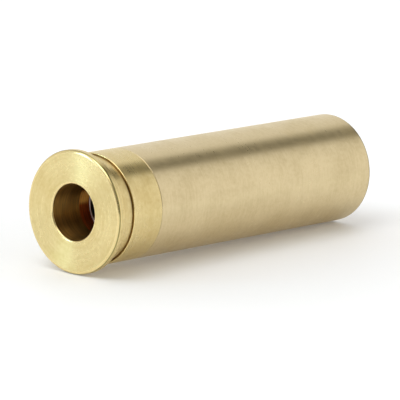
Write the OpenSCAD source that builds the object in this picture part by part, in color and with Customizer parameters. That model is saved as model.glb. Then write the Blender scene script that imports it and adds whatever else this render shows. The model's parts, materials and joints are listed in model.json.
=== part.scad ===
// Laser collimator in the shape of a rimmed shotgun cartridge. It lies along X: the centre of
// the rear bore's mouth is the origin, +X is the way the beam leaves, and Z is up.
// A rear battery cap screws into a brass tube, which holds three button cells, a laser module
// and a front window. All sizes are in millimetres.

/* [Case] */
// Diameter of the rim at the rear end
rim_d = 22.3; // [22:0.1:23]
// Thickness of the rim
rim_t = 1.5; // [1.2:0.1:2]
// Rounding of the rim's rear edge
rim_round = 0.5; // [0.2:0.1:0.6]
// Diameter of the neck between the rim and the shoulder
neck_d = 19.4; // [18.8:0.1:19.8]
// Distance from the rear face to the shoulder
shoulder_x = 5.1; // [4:0.1:6]
// Diameter of the cap head and of the tube
case_d = 20.2; // [20:0.1:20.8]
// Distance from the rear face to the seam between cap and tube
seam_x = 12.4; // [12.2:0.1:13]
// Length of the whole case
case_len = 70.4; // [70:0.1:80]

/* [Rear bore] */
// Diameter of the rear bore
bore_d = 10.2; // [9.8:0.1:10.4]
// Depth of the rear bore, up to the recess that holds the contact spring
bore_depth = 9.4; // [9.2:0.1:9.6]

/* [Cap thread] */
// Major diameter of the thread on the cap
thread_d = 17; // [16.8:0.1:17.2]
// Length of the thread
thread_len = 5.4; // [4:0.1:5.6]
// Width of the seal's groove
groove_w = 1.6; // [1.4:0.1:1.6]
// Thickness of the seal
seal_w = 1.15; // [1:0.05:1.2]

/* [Cells] */
// Diameter of one button cell
cell_d = 11.6; // [11.2:0.1:11.6]
// Height of one button cell
cell_h = 5.35; // [5:0.05:5.35]
// Distance from one cell to the next
cell_pitch = 5.4; // [5.4:0.05:5.6]

/* [Laser module] */
// Outer diameter of the module's barrel
barrel_d = 12.9; // [12.8:0.1:13]
// Diameter of the collimating lens
lens_d = 6.5; // [6:0.1:6.5]
// Radius of the lens's curved face
lens_curve = 7; // [6:0.5:9]
// Diameter of the laser diode's flange
stem_d = 5.6; // [5.2:0.1:5.6]
// Width of the driver board
board_w = 8.8; // [7:0.2:9]
// Thickness of the driver board
board_t = 0.8; // [0.6:0.1:1]

/* [Window] */
// Diameter of the front window
window_d = 12; // [11:0.1:12]
// Thickness of the front window
window_t = 1.5; // [1:0.1:1.5]
// Diameter of the beam opening
beam_d = 9; // [7:0.1:9.2]

/* [Springs] */
// Wire diameter of the contact spring in the cap
contact_wire = 0.5; // [0.4:0.05:0.6]
// Wire diameter of the spring on the contact disc
board_wire = 0.45; // [0.35:0.05:0.45]
// Wire diameter of the spring behind the lens holder
lens_wire = 0.4; // [0.3:0.05:0.4]

/* [Hidden] */
$fn = 96;
cell_count = 3;
cell_parts = ["can", "filling", "gasket", "cap"];

cut = 0.5;        // how far a cutting solid runs past the face it cuts
gap = 0.03;       // between faces that meet across a joint
slip = 0.1;       // between diameters that slide into each other
edge = 0.1;       // chamfer on each side of the seam
wall = 0.5;       // wall of the battery sleeve

// Cap
neck_round = 0.25;
shoulder_edge = 0.15;
groove_d = 15.2;
cavity_d = 13.3;
recess_d = 11.3;
cavity_x = bore_depth + 1;
thread_x = seam_x + groove_w;
spigot_end = thread_x + thread_len;
thread_edge = 0.5;

// Tube
seal_seat_d = groove_d + 2 * seal_w + slip;
thread_bore_d = thread_d + slip;
relief_end = spigot_end + 0.6;
tube_bore_d = barrel_d + 2 * slip;
front_round = 0.4;
flange_x = case_len - 6;
seat_x = flange_x + 1.6;
recess_front_d = window_d + 0.6;
flange_hole_d = beam_d + 0.2;

// Cells, from the rear
cells_x = thread_x;
cells_end = cells_x + cell_count * cell_pitch;
can_wall = 0.25;
gasket_w = 0.75;
cell_cap_d = cell_d - 2 * can_wall - 2 * gasket_w;
sleeve_x = cavity_x + 0.2;
sleeve_end = cells_end + 1.6;
sleeve_d = tube_bore_d - 2 * slip;

// Module, from the rear to the front
barrel_x = sleeve_end + 0.2;
barrel_end = flange_x - gap;
disc_d = 11.4;
disc_x = barrel_x + 2.2;
disc_t = 1;
board_x = disc_x + disc_t;
board_top = -0.225;
tab_w = 3.8;
holder_x = flange_x - 13.5;
holder_end = holder_x + 6;
holder_d = 9.6;
board_end = holder_x - 1;
board_bore_d = 10.8;
stem_t = 1.2;
stem_x = holder_x + 1.9;
lead_d = 0.45;
lead_circle_d = 2;
can_d = 4.1;
can_len = 2.4;
can_skin = 0.2;
diode_window_d = 2.4;
diode_window_t = 0.25;
post_len = 1.3;

// Lens group
lens_cell_x = holder_end + 1.9;
lens_cell_d = 9.4;
lens_lip_t = 0.6;
lens_x = lens_cell_x + lens_lip_t;
lens_t = 2.4;
lens_ring_t = 1.2;
lens_clear_d = 5;
lens_ring_x = lens_x + lens_t - lens_curve + sqrt(pow(lens_curve, 2) - pow(lens_clear_d / 2, 2)) + gap;
slot_w = 1;
slot_depth = 0.6;

// Window group
window_seal_t = 0.7;
window_x = seat_x + window_seal_t;
window_ring_x = window_x + window_t;
window_ring_end = case_len - 0.4;

// Springs
coil_steps = 20;
coil_sides = 6;

function cell_name(i, part) = str("cell_", i, "_", part);

// Points of a quarter circle from angle a0 to a1, as [x, r]
function arc(x, r, radius, a0, a1, steps = 6) =
    [for (i = [0 : steps]) let (a = a0 + (a1 - a0) * i / steps) [x + radius * cos(a), r + radius * sin(a)]];

// Solid of revolution about X from [x, r] points
module turned(points) {
    rotate([0, 90, 0]) rotate_extrude() polygon([for (p = points) [p[1], p[0]]]);
}

// Cylinder along X from x0 to x1
module rod(x0, x1, d) {
    translate([x0, 0, 0]) rotate([0, 90, 0]) cylinder(h = x1 - x0, d = d);
}

// Ring along X from x0 to x1
module ring(x0, x1, od, id) {
    difference() {
        rod(x0, x1, od);
        rod(x0 - cut, x1 + cut, id);
    }
}

// Box given by its ends along X, its width across Y and its ends along Z
module bar(x0, x1, w, z0, z1) {
    translate([x0, -w / 2, z0]) cube([x1 - x0, w, z1 - z0]);
}

// Ring with two spanner slots across its front face
module slotted_ring(x0, x1, od, id) {
    difference() {
        ring(x0, x1, od, id);
        bar(x1 - slot_depth, x1 + cut, od + 2 * cut, -slot_w / 2, slot_w / 2);
    }
}

// Round wire along a coil about X. The first `shut` turns keep the first diameter and lie one
// wire apart, and the last `flat` turns stay in one plane.
module coil(x0, x1, d0, d1, turns, wire, shut = 0, flat = 0) {
    way = x1 > x0 ? 1 : -1;
    x_shut = x0 + way * shut * wire * 1.1;
    count = ceil(turns * coil_steps);
    rings = [for (i = [0 : count])
        let (t = turns * i / count,
             rise = min(1, max(0, (t - shut) / (turns - shut - flat))),
             narrow = max(0, (t - shut) / (turns - shut)),
             x = t < shut ? x0 + (x_shut - x0) * t / shut : x_shut + (x1 - x_shut) * rise,
             r = (d0 + (d1 - d0) * narrow) / 2)
        [for (j = [0 : coil_sides - 1])
            let (b = way * 360 * j / coil_sides, q = r + wire / 2 * cos(b))
            [x + wire / 2 * sin(b), q * cos(360 * t), q * sin(360 * t)]]];
    last = count * coil_sides;
    polyhedron(
        points = [for (ring = rings) each ring],
        faces = concat(
            [[for (j = [0 : coil_sides - 1]) j]],
            [for (i = [0 : count - 1]) for (j = [0 : coil_sides - 1])
                let (a = i * coil_sides, k = (j + 1) % coil_sides)
                [a + j, a + coil_sides + j, a + coil_sides + k, a + k]],
            [[for (j = [coil_sides - 1 : -1 : 0]) last + j]]
        )
    );
}

module rear_cap() {
    color("#d8bc84") difference() {
        turned(concat(
            [[0, 0]],
            arc(rim_round, rim_d / 2 - rim_round, rim_round, 180, 90),
            arc(rim_t - neck_round, rim_d / 2 - neck_round, neck_round, 90, 0),
            [[rim_t, neck_d / 2], [shoulder_x, neck_d / 2]],
            [[shoulder_x, case_d / 2 - shoulder_edge], [shoulder_x + shoulder_edge, case_d / 2]],
            [[seam_x - gap - edge, case_d / 2], [seam_x - gap, case_d / 2 - edge]],
            [[seam_x - gap, groove_d / 2], [thread_x, groove_d / 2]],
            [[thread_x, thread_d / 2], [spigot_end - thread_edge, thread_d / 2]],
            [[spigot_end, thread_d / 2 - thread_edge], [spigot_end, 0]]
        ));
        rod(-cut, bore_depth + cut, bore_d);
        rod(bore_depth, cavity_x + cut, recess_d);
        rod(cavity_x, spigot_end + cut, cavity_d);
    }
}

module cap_seal() {
    color("#1c1c1e") rotate([0, 90, 0]) translate([0, 0, seam_x + groove_w / 2])
        rotate_extrude() translate([(groove_d + seal_w) / 2 + gap, 0]) circle(d = seal_w, $fn = 48);
}

module contact_spring() {
    color("#c9c9c6") rotate([180, 0, 0]) coil(
        bore_depth + contact_wire / 2 + gap, cells_x - contact_wire / 2 - gap, 10.6, 5,
        4.5, contact_wire, shut = 1, flat = 0.75
    );
}

module body_tube() {
    color("#dcc9a2") difference() {
        turned(concat(
            [[seam_x, 0], [seam_x, case_d / 2 - edge], [seam_x + edge, case_d / 2]],
            arc(case_len - front_round, case_d / 2 - front_round, front_round, 90, 0),
            [[case_len, 0]]
        ));
        rod(seam_x - cut, thread_x, seal_seat_d);
        rod(seam_x, relief_end, thread_bore_d);
        rod(seam_x, flange_x, tube_bore_d);
        rod(seam_x, case_len, flange_hole_d);
        rod(seat_x, case_len + cut, recess_front_d);
    }
}

module battery_sleeve() {
    color("#2a2a2c") ring(sleeve_x, sleeve_end, sleeve_d, sleeve_d - 2 * wall);
}

// Steel cup of a cell, open towards +X
module cell_can(x) {
    color("#cfcfd0") difference() {
        rod(x, x + cell_h - 0.35, cell_d);
        rod(x + can_wall, x + cell_h, cell_d - 2 * can_wall);
    }
}

module cell_filling(x) {
    color("#2e2c2b") rod(x + can_wall, x + cell_h - 1.4, cell_cap_d - 2 * can_wall);
}

// Nylon ring that keeps the can and the cap apart
module cell_gasket(x) {
    color("#5b7fa6") ring(x + can_wall, x + cell_h - 0.25, cell_d - 2 * can_wall, cell_cap_d);
}

// Steel lid of a cell, which closes the cup
module cell_cap(x) {
    color("#d6d6d8") difference() {
        rod(x + cell_h - 3, x + cell_h, cell_cap_d);
        rod(x + cell_h - 3 - cut, x + cell_h - can_wall, cell_cap_d - 2 * can_wall);
    }
}

module module_barrel() {
    color("#c8a867") difference() {
        rod(barrel_x, barrel_end, barrel_d);
        rod(barrel_x - cut, board_x, disc_d + slip);
        rod(barrel_x, holder_x, board_bore_d);
        rod(barrel_x, holder_end, holder_d + slip);
        rod(barrel_x, barrel_end + cut, lens_cell_d + slip);
    }
}

module board_spring() {
    color("#d9c88e") coil(
        disc_x - board_wire / 2, cells_end + board_wire / 2, 6.4, 3.2,
        4, board_wire, shut = 0.5, flat = 0.75
    );
}

module contact_disc() {
    color("#2f6b46") difference() {
        rod(disc_x, disc_x + disc_t, disc_d);
        bar(disc_x - cut, disc_x + disc_t + cut, tab_w + slip, board_top - board_t - gap, board_top + gap);
    }
}

module driver_board() {
    color("#2c6f48") {
        bar(board_x, board_end, board_w, board_top - board_t, board_top);
        bar(disc_x + slip, board_x, tab_w, board_top - board_t, board_top);
    }
}

// Small transistor: a moulded body and three bent legs
module board_transistor() {
    body = [board_x + 2.4, board_x + 5.3];
    color("#1b1b1d") {
        bar(body[0], body[1], 1.3, board_top + 0.1, board_top + 1.1);
        for (leg = [[0.55, 1], [2.35, 1], [1.45, -1]])
            translate([body[0] + leg[0], leg[1] * 0.9, 0]) bar(-0.2, 0.2, 0.7, board_top, board_top + 0.2);
    }
}

module board_resistors() {
    color("#26262b") for (spot = [[1.6, 3], [6.8, 2.8], [6.8, -2.8]])
        translate([0, spot[1], 0]) bar(board_x + spot[0], board_x + spot[0] + 1.6, 0.8, board_top, board_top + 0.45);
}

module board_capacitor() {
    color("#c8862f") translate([0, -2.6, 0])
        bar(board_x + 2, board_x + 5.2, 1.6, board_top, board_top + 1.4);
}

// Two leads lie on the board, and the third ends in the air
module diode_leads() {
    reach = [[0, 1, holder_x - 3.5], [0, -1, holder_x - 3.5], [1, 0, holder_x - 0.5]];
    color("#d6c178") for (lead = reach)
        translate([0, lead[1] * lead_circle_d / 2, lead[0] * lead_circle_d / 2])
            rod(lead[2], stem_x, lead_d);
}

// Flange of the diode with the post that carries the chip
module diode_stem() {
    color("#cfae5f") {
        rod(stem_x, stem_x + stem_t, stem_d);
        intersection() {
            rod(stem_x + stem_t, stem_x + stem_t + post_len, 2.6);
            bar(stem_x, stem_x + stem_t + post_len + cut, 2, -1.3, -0.1);
        }
    }
}

module diode_chip() {
    color("#44434a") bar(stem_x + stem_t + post_len - 0.6, stem_x + stem_t + post_len, 0.5, -0.1, 0.12);
}

module diode_can() {
    front = stem_x + stem_t + can_len;
    color("#c9b074") difference() {
        rod(stem_x + stem_t, front, can_d);
        rod(stem_x + stem_t - cut, front - can_skin, can_d - 2 * can_skin);
        rod(front - cut, front + cut, 1.6);
    }
}

module diode_window() {
    back = stem_x + stem_t + can_len - can_skin - diode_window_t;
    color("#cfe3ea", 0.6) rod(back, back + diode_window_t, diode_window_d);
}

module diode_holder() {
    color("#c39f5c") difference() {
        rod(holder_x, holder_end, holder_d);
        rod(holder_x - cut, stem_x + stem_t, stem_d + slip);
        rod(holder_x, holder_end + cut, can_d + 0.3);
    }
}

module lens_spring() {
    color("#c4c4c2") coil(
        holder_end + lens_wire / 2 + gap, lens_cell_x - lens_wire / 2 - gap, 7.8, 7.8,
        3, lens_wire
    );
}

module lens_holder() {
    color("#b8944f") difference() {
        rod(lens_cell_x, barrel_end, lens_cell_d);
        rod(lens_cell_x - cut, barrel_end + cut, lens_clear_d + 0.4);
        rod(lens_x, barrel_end + cut, lens_d + slip);
    }
}

// Glass lens with a flat rear face and a curved front face
module collimating_lens() {
    color("#bfe0d8", 0.6) intersection() {
        rod(lens_x, lens_x + lens_t, lens_d);
        translate([lens_x + lens_t - lens_curve, 0, 0]) sphere(r = lens_curve);
    }
}

module lens_ring() {
    color("#3a3834") slotted_ring(lens_ring_x, lens_ring_x + lens_ring_t, lens_d, lens_clear_d);
}

module window_seal() {
    color("#1c1c1e") ring(seat_x, window_x, window_d, beam_d + 0.8);
}

module window() {
    color("#d5e6ea", 0.5) rod(window_x, window_ring_x, window_d);
}

module window_ring() {
    color("#c8a867") slotted_ring(window_ring_x, window_ring_end, recess_front_d - slip, beam_d);
}

rear_cap();
cap_seal();
contact_spring();
body_tube();
battery_sleeve();
for (i = [1 : cell_count]) {
    x = cells_x + (i - 1) * cell_pitch;
    cell_can(x);
    cell_filling(x);
    cell_gasket(x);
    cell_cap(x);
}
module_barrel();
board_spring();
contact_disc();
driver_board();
board_transistor();
board_resistors();
board_capacitor();
diode_leads();
diode_stem();
diode_chip();
diode_can();
diode_window();
diode_holder();
lens_spring();
lens_holder();
collimating_lens();
lens_ring();
window_seal();
window();
window_ring();
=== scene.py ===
"""Looks of a laser collimator in the shape of a rimmed brass cartridge, built around its CAD model.

The case lies along X with the rear face at 0, and the beam leaves towards +X. Lengths are in
millimetres, and become metres where a mesh, a material or the camera is made. Only the floor's and
the lights' lengths are in metres from the start.
"""
import json
from math import asin, ceil, cos, floor, hypot, pi, radians, sin, sqrt, tan, tau

import bmesh
import bpy
from mathutils import Matrix, Vector


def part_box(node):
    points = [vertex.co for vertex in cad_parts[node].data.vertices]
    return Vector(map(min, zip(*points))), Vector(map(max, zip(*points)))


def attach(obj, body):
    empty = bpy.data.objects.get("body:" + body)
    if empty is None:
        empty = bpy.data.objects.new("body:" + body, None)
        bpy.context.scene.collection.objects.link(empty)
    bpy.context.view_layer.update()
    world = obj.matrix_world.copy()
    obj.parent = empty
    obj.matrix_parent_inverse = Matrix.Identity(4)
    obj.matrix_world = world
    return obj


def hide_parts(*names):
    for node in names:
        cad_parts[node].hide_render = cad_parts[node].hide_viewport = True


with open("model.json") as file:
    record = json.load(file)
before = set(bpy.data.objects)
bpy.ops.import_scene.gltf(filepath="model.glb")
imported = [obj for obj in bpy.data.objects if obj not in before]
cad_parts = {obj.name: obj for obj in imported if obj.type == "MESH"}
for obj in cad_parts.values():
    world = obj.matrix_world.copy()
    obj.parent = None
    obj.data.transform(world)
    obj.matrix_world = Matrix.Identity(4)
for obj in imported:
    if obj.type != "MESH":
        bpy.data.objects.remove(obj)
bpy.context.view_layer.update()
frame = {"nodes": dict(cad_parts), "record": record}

MM = 0.001
NODES = frame["nodes"]
RECORD = frame["record"]


# -------- sizes from the frame

def box(node):
    """Low and high corner of a CAD node."""
    return [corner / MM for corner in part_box(node)]


def span(node):
    """First and last x of a CAD node."""
    low, high = box(node)
    return low.x, high.x


def reach(node):
    """Outer radius of a CAD node that is round about X."""
    return box(node)[1].z


def radii(node, x):
    """Smallest and largest radius of the points that a CAD node has at x."""
    points = [vertex.co / MM for vertex in NODES[node].data.vertices]
    found = [hypot(p.y, p.z) for p in points if abs(p.x - x) < 0.02]
    return min(found), max(found)


def mount(name):
    return next(m for m in RECORD["mounts"] if m["name"] == name)["dims"]


# rear cap, from its rear face to the end of its spigot
GAP = 0.03
RIM_T = 1.5
RIM_ROUND = 0.5
MOUTH_ROUND = 0.3
REAMED_DEPTH = 7.2
SHOULDER = 5.1
SEAM, CASE_END = span("body_tube")
HEAD_END = SEAM - GAP
SPIGOT_END = span("rear_cap")[1]
THREAD_START = span("cell_1_can")[0]
BORE_R = mount("rear_bore")["r_mm"]
BORE_DEPTH = mount("rear_bore")["length_mm"]
RECESS_END = BORE_DEPTH + 1
# x up to which the contact spring's wire takes a painted highlight, over its first coil
HIGHLIGHT_END = BORE_DEPTH + 0.38
RIM_R = reach("rear_cap")
CASE_R = reach("body_tube")
NECK_R = radii("rear_cap", RIM_T)[0]
RECESS_R = radii("rear_cap", BORE_DEPTH)[1]
CAVITY_R = radii("rear_cap", RECESS_END)[1]
GROOVE_R = radii("rear_cap", HEAD_END)[0]

# inside of the tube, from the seam to the beam end
SEAT_R = radii("body_tube", SEAM)[0]
RELIEF_END = SPIGOT_END + 0.6
TUBE_BORE_R = radii("body_tube", RELIEF_END)[0]
FLANGE_START = span("module_barrel")[1] + GAP
FLANGE_END = span("window_seal")[0]
FLANGE_R = radii("body_tube", FLANGE_END)[0]
FRONT_R = radii("body_tube", CASE_END)[0]

# threads: pitch, and the radii of crest and root
THREAD_PITCH = 1.0
MALE_CREST = 8.45
MALE_ROOT = 7.85
FEMALE_ROOT = 8.53
FEMALE_CREST = 7.93
LENS_PITCH = 0.5
LENS_THREAD = 0.22


# -------- mesh building

def turned_back(first, last, share):
    """Unit vector between two unit vectors, at a share of the angle between them."""
    angle = first.angle(last)
    side = sin(angle)
    return first * (sin((1 - share) * angle) / side) + last * (sin(share * angle) / side)


def rounded(corners, steps=4, hold=0.3):
    """Closed outline of (x, radius, wear and shade) points. A corner is (x, radius, fillet), and a list
    in its place holds ready points, such as a thread's. Each fillet gets a point just outside either
    end, at `hold` times its length, which keeps the flats beside it flat in smooth shading. The third
    number is 1 on an outer edge, which the brass shows as polish, -1 in an inner corner, which gets
    painted shade, and 0 elsewhere. A corner's fourth number sets it, and a negative one paints shade
    on its edge."""
    ends = [(c[0], c[-1]) if isinstance(c, list) else (c, c) for c in corners]
    first, last = ([Vector(c[:2]) for c in side] for side in zip(*ends))
    area = sum(a.x * b.y - b.x * a.y for a, b in zip(last, first[1:] + first[:1]))
    points = []
    for i, corner in enumerate(corners):
        if isinstance(corner, list):
            points += corner
            continue
        here, fillet = first[i], corner[2]
        back = (last[i - 1] - here).normalized()
        ahead = (first[(i + 1) % len(corners)] - here).normalized()
        if not fillet:
            points.append((*here, 0))
            continue
        wear_and_shade = -1 if (back.x * ahead.y - back.y * ahead.x) * area > 0 else 1
        if len(corner) == 4:
            wear_and_shade = corner[3]
        half = back.angle(ahead) / 2
        cut = fillet / tan(half)
        centre = here + (back + ahead).normalized() * fillet / sin(half)
        start = (here + back * cut - centre).normalized()
        end = (here + ahead * cut - centre).normalized()
        points.append((*(here + back * cut * (1 + hold)), 0))
        for k in range(steps + 1):
            points.append((*(centre + turned_back(start, end, k / steps) * fillet), wear_and_shade))
        points.append((*(here + ahead * cut * (1 + hold)), 0))
    return points


def thread(x0, x1, root, crest, pitch, angle, first, last, shift=0.0, origin=THREAD_START):
    """Points of a right-hand thread at one angle about X. It rises out of radius `first` at x0 and
    runs out into radius `last` at x1. The flanks stand at 60 degrees to each other."""
    flank = abs(crest - root) * tan(radians(30)) / pitch
    flat = (1 - 2 * flank) / 2
    profile = [(0, crest), (flat, crest), (flat + flank, root), (2 * flat + flank, root)]
    points = []
    for n in range(floor((x0 - origin) / pitch) - 2, ceil((x1 - origin) / pitch) + 2):
        for u, radius in profile:
            x = origin + pitch * (n + u + shift + angle / tau)
            x = min(x1, max(x0, x))
            radius = first + (radius - first) * min(1, (x - x0) / (0.6 * pitch))
            radius = last + (radius - last) * min(1, (x1 - x) / (0.6 * pitch))
            points.append((x, radius, 0))
    return points


def disc(x0, x1, outer, first, last):
    """Outline of a solid disc. `first` and `last` are the fillets of its two edges."""
    return rounded([(x0, 0, 0), (x0, outer, first), (x1, outer, last), (x1, 0, 0)])


def ring(x0, x1, hole, outer, fillets):
    """Outline of a flat ring. The four fillets go from the hole at x0 round to the hole at x1."""
    corners = (x0, hole), (x0, outer), (x1, outer), (x1, hole)
    return rounded([(*corner, fillet) for corner, fillet in zip(corners, fillets)])


def dots(bm, spots):
    """New vertices at points in millimetres."""
    return [bm.verts.new(Vector(spot) * MM) for spot in spots]


def turn(bm, outline, steps, y=0.0, z=0.0):
    """Adds a solid of revolution about the line along X through y, z. `outline` is a closed list of
    (x, radius, wear and shade) points, or a function that gives that list for an angle. The third
    number goes to the mesh as a vertex value that the brass reads for polish and for painted shade."""
    wear_and_shade = bm.verts.layers.float.get("wear_and_shade") or bm.verts.layers.float.new("wear_and_shade")
    columns = []
    for j in range(steps + 1):
        angle = tau * j / steps
        points = outline(angle) if callable(outline) else outline
        column = dots(bm, [(x, y + r * cos(angle), z + r * sin(angle)) for x, r, wear_and_shade_value in points])
        for dot, point in zip(column, points):
            dot[wear_and_shade] = point[2]
        columns.append(column)
    on_axis = [all(abs(p[1]) < 1e-6 for p in pair) for pair in zip(points, points[1:] + points[:1])]
    for here, there in zip(columns, columns[1:]):
        for k, skipped in enumerate(on_axis):
            n = (k + 1) % len(here)
            if not skipped:
                bm.faces.new((here[k], here[n], there[n], there[k]))


def closed_skin(bm, rings):
    """Faces between rings of points that follow each other, and over the first and the last ring."""
    for here, there in zip(rings, rings[1:]):
        for k in range(len(here)):
            n = (k + 1) % len(here)
            bm.faces.new((here[k], here[n], there[n], there[k]))
    bm.faces.new(rings[0])
    bm.faces.new(rings[-1])


def smoothed(mesh, sharp=35):
    for face in mesh.polygons:
        face.use_smooth = True
    mesh.set_sharp_from_angle(angle=radians(sharp))


def placed(name, data):
    item = bpy.data.objects.new(name, data)
    bpy.context.scene.collection.objects.link(item)
    return item


def finished(name, bm, *materials, sharp=35, weld=True):
    """Object made from bm, with its normals outward and smooth except at edges over `sharp`. Pieces
    built of overlapping blocks aren't welded, so that each block stays closed."""
    if weld:
        bmesh.ops.remove_doubles(bm, verts=bm.verts, dist=1e-7)
        bmesh.ops.dissolve_degenerate(bm, edges=bm.edges, dist=1e-8)
    bmesh.ops.recalc_face_normals(bm, faces=bm.faces)
    mesh = bpy.data.meshes.new(name)
    bm.to_mesh(mesh)
    bm.free()
    smoothed(mesh, sharp)
    for item in materials:
        mesh.materials.append(item)
    return placed(name, mesh)


def lathe(name, outline, material, steps=128):
    bm = bmesh.new()
    turn(bm, outline, steps)
    return finished(name, bm, material)


def carve(piece, *cutters):
    """Takes the cutters' shapes out of a piece and removes the cutters."""
    for cutter in cutters:
        tool = piece.modifiers.new("carve", "BOOLEAN")
        tool.operation = "DIFFERENCE"
        tool.solver = "EXACT"
        tool.object = cutter
    graph = bpy.context.evaluated_depsgraph_get()
    carved = bpy.data.meshes.new_from_object(piece.evaluated_get(graph), depsgraph=graph)
    piece.modifiers.clear()
    piece.data = carved
    for cutter in cutters:
        bpy.data.objects.remove(cutter)
    smoothed(carved)


def painted(bm, before, material):
    """Gives a material slot to the faces that were added since `before`."""
    for face in bm.faces:
        if face not in before:
            face.material_index = material


def block(bm, low, high, bevel=0.05, material=0, top=1.0):
    """Adds a box with softened edges. `top` narrows its upper face, as a moulded body's draft does."""
    before = set(bm.faces)
    low, high = Vector(low), Vector(high)
    middle = (low + high) / 2
    corners = bmesh.ops.create_cube(bm, size=1)["verts"]
    for corner in corners:
        shape = top if corner.co.z > 0 else 1.0
        offset = Vector(corner.co[i] * (high[i] - low[i]) * (shape if i < 2 else 1) for i in range(3))
        corner.co = (middle + offset) * MM
    own = set(corners)
    edges = [edge for edge in bm.edges if edge.verts[0] in own and edge.verts[1] in own]
    bmesh.ops.bevel(bm, geom=edges, offset=bevel * MM, segments=2, profile=0.5, affect="EDGES")
    painted(bm, before, material)


def slab(bm, outline, z0, z1, bevel=0.03):
    """Adds a flat plate from a closed list of (x, y) points, with a small chamfer along its faces."""
    before = set(bm.faces)
    base = bm.faces.new(dots(bm, [(x, y, z0) for x, y in outline]))
    grown = bmesh.ops.extrude_face_region(bm, geom=[base])["geom"]
    top = [item for item in grown if isinstance(item, bmesh.types.BMVert)]
    bmesh.ops.translate(bm, vec=(0, 0, (z1 - z0) * MM), verts=top)
    new = [face for face in bm.faces if face not in before]
    flat = [e for f in new if abs(f.normal.z) > 0.9 or len(f.verts) > 4 for e in f.edges]
    bmesh.ops.bevel(bm, geom=list(dict.fromkeys(flat)), offset=bevel * MM, segments=1, affect="EDGES")


def ribbon(bm, path, x0, x1, thick, material=0):
    """Adds a bent strip of metal: path is its lower line as (y, z) points, x0 to x1 its width."""
    before = set(bm.faces)
    rows = []
    for i, point in enumerate(path):
        here = Vector(point)
        ahead = Vector(path[min(i + 1, len(path) - 1)]) - here
        behind = here - Vector(path[max(i - 1, 0)])
        along = (ahead.normalized() + behind.normalized()).normalized()
        over = here + Vector((-along.y, along.x)) * thick * (1 if path[-1][0] < path[0][0] else -1)
        rows.append(dots(bm, [(x0, *here), (x1, *here), (x1, *over), (x0, *over)]))
    closed_skin(bm, rows)
    painted(bm, before, material)


def coil(name, x0, x1, r0, r1, turns, wire, material, shut=0.0, flat=0.0, start=0.0, steps=64, sides=14):
    """Round wire wound about X from x0 to x1 while its radius goes from r0 to r1. The first `shut`
    turns lie one wire apart, the last `flat` turns stay in one plane, and both cut ends are eased. The
    wire begins `start` of a turn round from the Y axis."""
    way = 1 if x1 > x0 else -1
    x_shut = x0 + way * shut * wire * 1.1
    count = ceil(turns * steps)
    bm = bmesh.new()
    rings = []
    for i in range(-1, count + 2):
        t = turns * min(max(i, 0), count) / count
        rise = min(1, max(0, (t - shut) / (turns - shut - flat)))
        radius = r0 + (r1 - r0) * max(0, (t - shut) / (turns - shut))
        x = x0 + (x_shut - x0) * t / shut if t < shut else x_shut + (x1 - x_shut) * rise
        thick = wire / 2 * (1 if 0 <= i <= count else 0.78)
        angle = tau * (t + start) + (0.03 if i > count else -0.03 if i < 0 else 0)
        section = []
        for j in range(sides):
            around = tau * j / sides
            q = radius + thick * cos(around)
            section.append((x + thick * sin(around), q * cos(angle), q * sin(angle)))
        rings.append(dots(bm, section))
    closed_skin(bm, rings)
    return finished(name, bm, material)


def bar_cutter(x0, x1, half_y, half_z, z=0.0):
    """Plain box that only carves other pieces."""
    bm = bmesh.new()
    block(bm, (x0, -half_y, z - half_z), (x1, half_y, z + half_z), bevel=0.04)
    return finished("cutter", bm)


def stand_in(piece, source, body="tube"):
    """Puts a piece on its body in place of the CAD node that it stands for."""
    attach(piece, body)
    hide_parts(source)


def turned(name, outline, material, source, body="tube", steps=128):
    """Lathed piece that stands in for one CAD node."""
    stand_in(lathe(name, outline, material, steps), source, body)


def plain_disc(name, material, source, fillet, steps=128):
    """Disc with the size of its CAD node."""
    outline = disc(*span(source), reach(source), fillet, fillet)
    turned(name, outline, material, source, steps=steps)


def spanner_slots(piece, x, outer, wide=1.0, deep=0.6):
    """Cuts one slot across the front face of a ring, which leaves it two notches for a spanner."""
    carve(piece, bar_cutter(x - deep, x + 0.5, outer + 0.5, wide / 2))


def plain_ring(name, material, source, fillets, slotted=False):
    """Ring with the size of its CAD node, with two notches for a spanner if it is slotted."""
    x0, x1 = span(source)
    outer = reach(source)
    piece = lathe(name, ring(x0, x1, radii(source, x0)[0], outer, fillets), material)
    if slotted:
        spanner_slots(piece, x1, outer)
    stand_in(piece, source)


# -------- materials

def main_node(mat):
    """A material's shader or a world's background."""
    nodes = mat.node_tree.nodes
    return nodes.get("Principled BSDF") or nodes["Background"]


def new_material(name, **sockets):
    """Material with a Principled shader. Sockets are given by name, with _ for a space."""
    mat = bpy.data.materials.new(name)
    mat.use_nodes = True
    for key, value in sockets.items():
        main_node(mat).inputs[key.replace("_", " ")].default_value = value
    return mat


def node(mat, kind, inputs=None, **settings):
    """Adds a node. An input's value is a number, a vector or another node's output."""
    tree = mat.node_tree
    new = tree.nodes.new("ShaderNode" + kind)
    for key, value in settings.items():
        setattr(new, key, value)
    for key, value in (inputs or {}).items():
        if isinstance(value, bpy.types.NodeSocket):
            tree.links.new(value, new.inputs[key])
        else:
            new.inputs[key].default_value = value
    return new


def wire(mat, **links):
    """Links outputs to the main node's sockets."""
    for key, output in links.items():
        mat.node_tree.links.new(output, main_node(mat).inputs[key.replace("_", " ")])


def calculate(mat, operation, a, b=0.0, c=0.0):
    return node(mat, "Math", {0: a, 1: b, 2: c}, operation=operation).outputs[0]


def added(mat, *terms):
    total = terms[0]
    for term in terms[1:]:
        total = calculate(mat, "ADD", total, term)
    return total


def product(mat, *factors):
    total = factors[0]
    for factor in factors[1:]:
        total = calculate(mat, "MULTIPLY", total, factor)
    return total


def spread(mat, value, low, high, start=0.0, end=1.0):
    """Value mapped from low..high to start..end, smoothly and held at the ends."""
    names = {"Value": value, "From Min": low, "From Max": high, "To Min": start, "To Max": end}
    return node(mat, "MapRange", names, interpolation_type="SMOOTHSTEP").outputs["Result"]


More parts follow.
